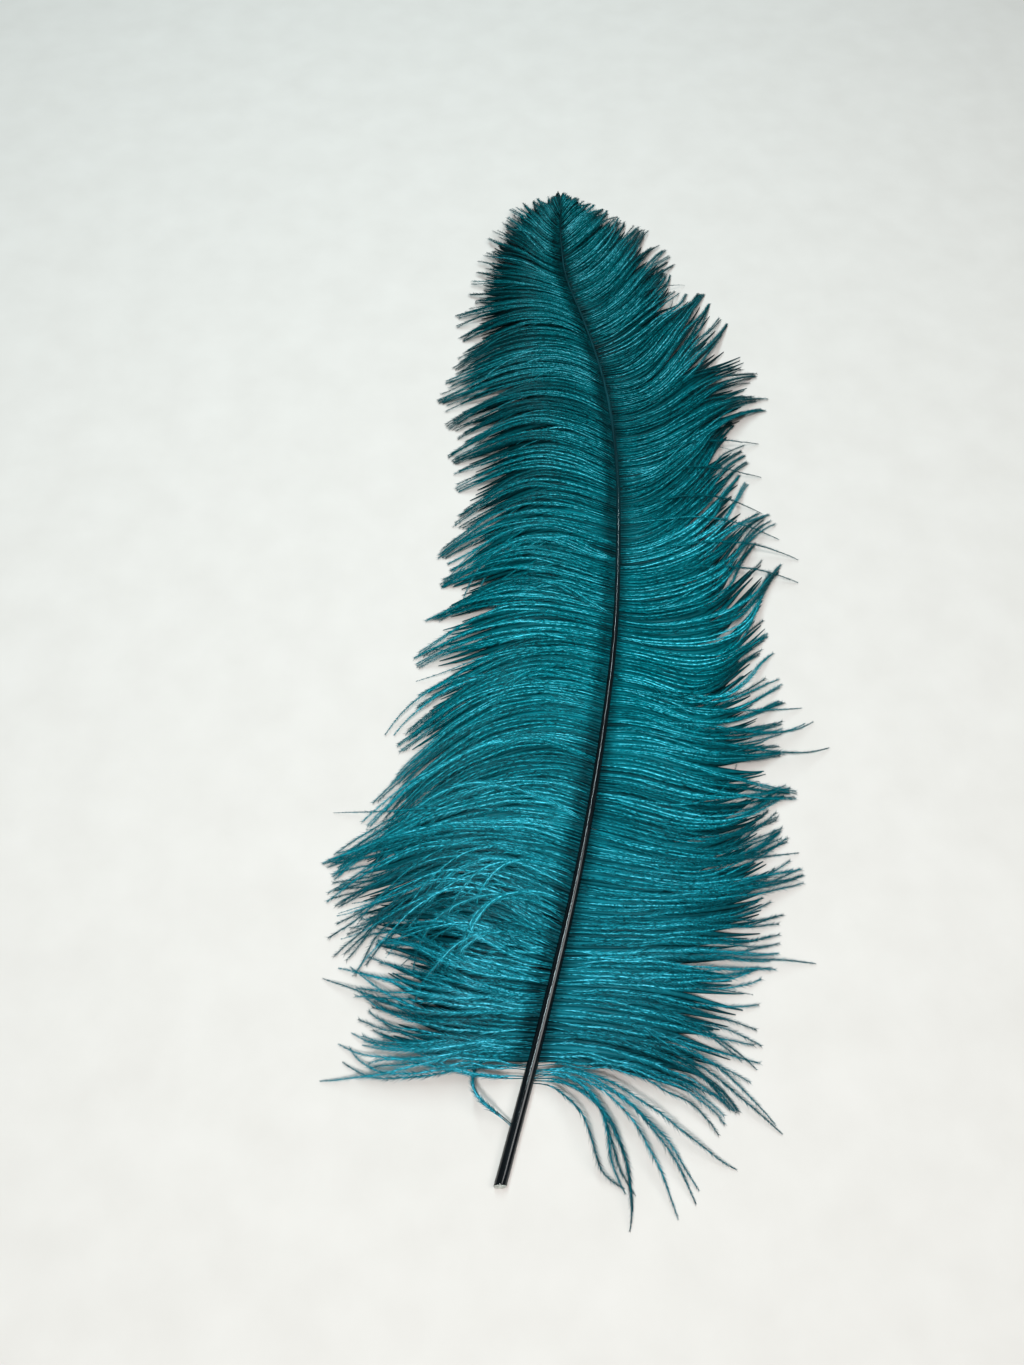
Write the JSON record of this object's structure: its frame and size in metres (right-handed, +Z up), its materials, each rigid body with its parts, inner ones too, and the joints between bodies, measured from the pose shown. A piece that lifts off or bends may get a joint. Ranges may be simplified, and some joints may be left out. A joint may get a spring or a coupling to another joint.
{
  "type": "ostrich feather",
  "caption": "Long soft plume lying flat: a slim curved shaft with a bare quill and a wide, loose vane of drooping barbs along each side.",
  "frame": {"origin": "on the surface it lies on, under the middle of the feather's bounding box", "axes": "+Y from the cut end of the quill to the tip, +Z up from the surface, +X to the right seen from above with the tip away from the viewer"},
  "size_m": [0.2286, 0.6004, 0.0186],
  "materials": {
    "quill": "gloss",
    "barbs": "matte"
  },
  "bodies": {
    "root": {"shaft": "quill", "left_vane": "barbs", "right_vane": "barbs"}
  },
  "joints": []
}
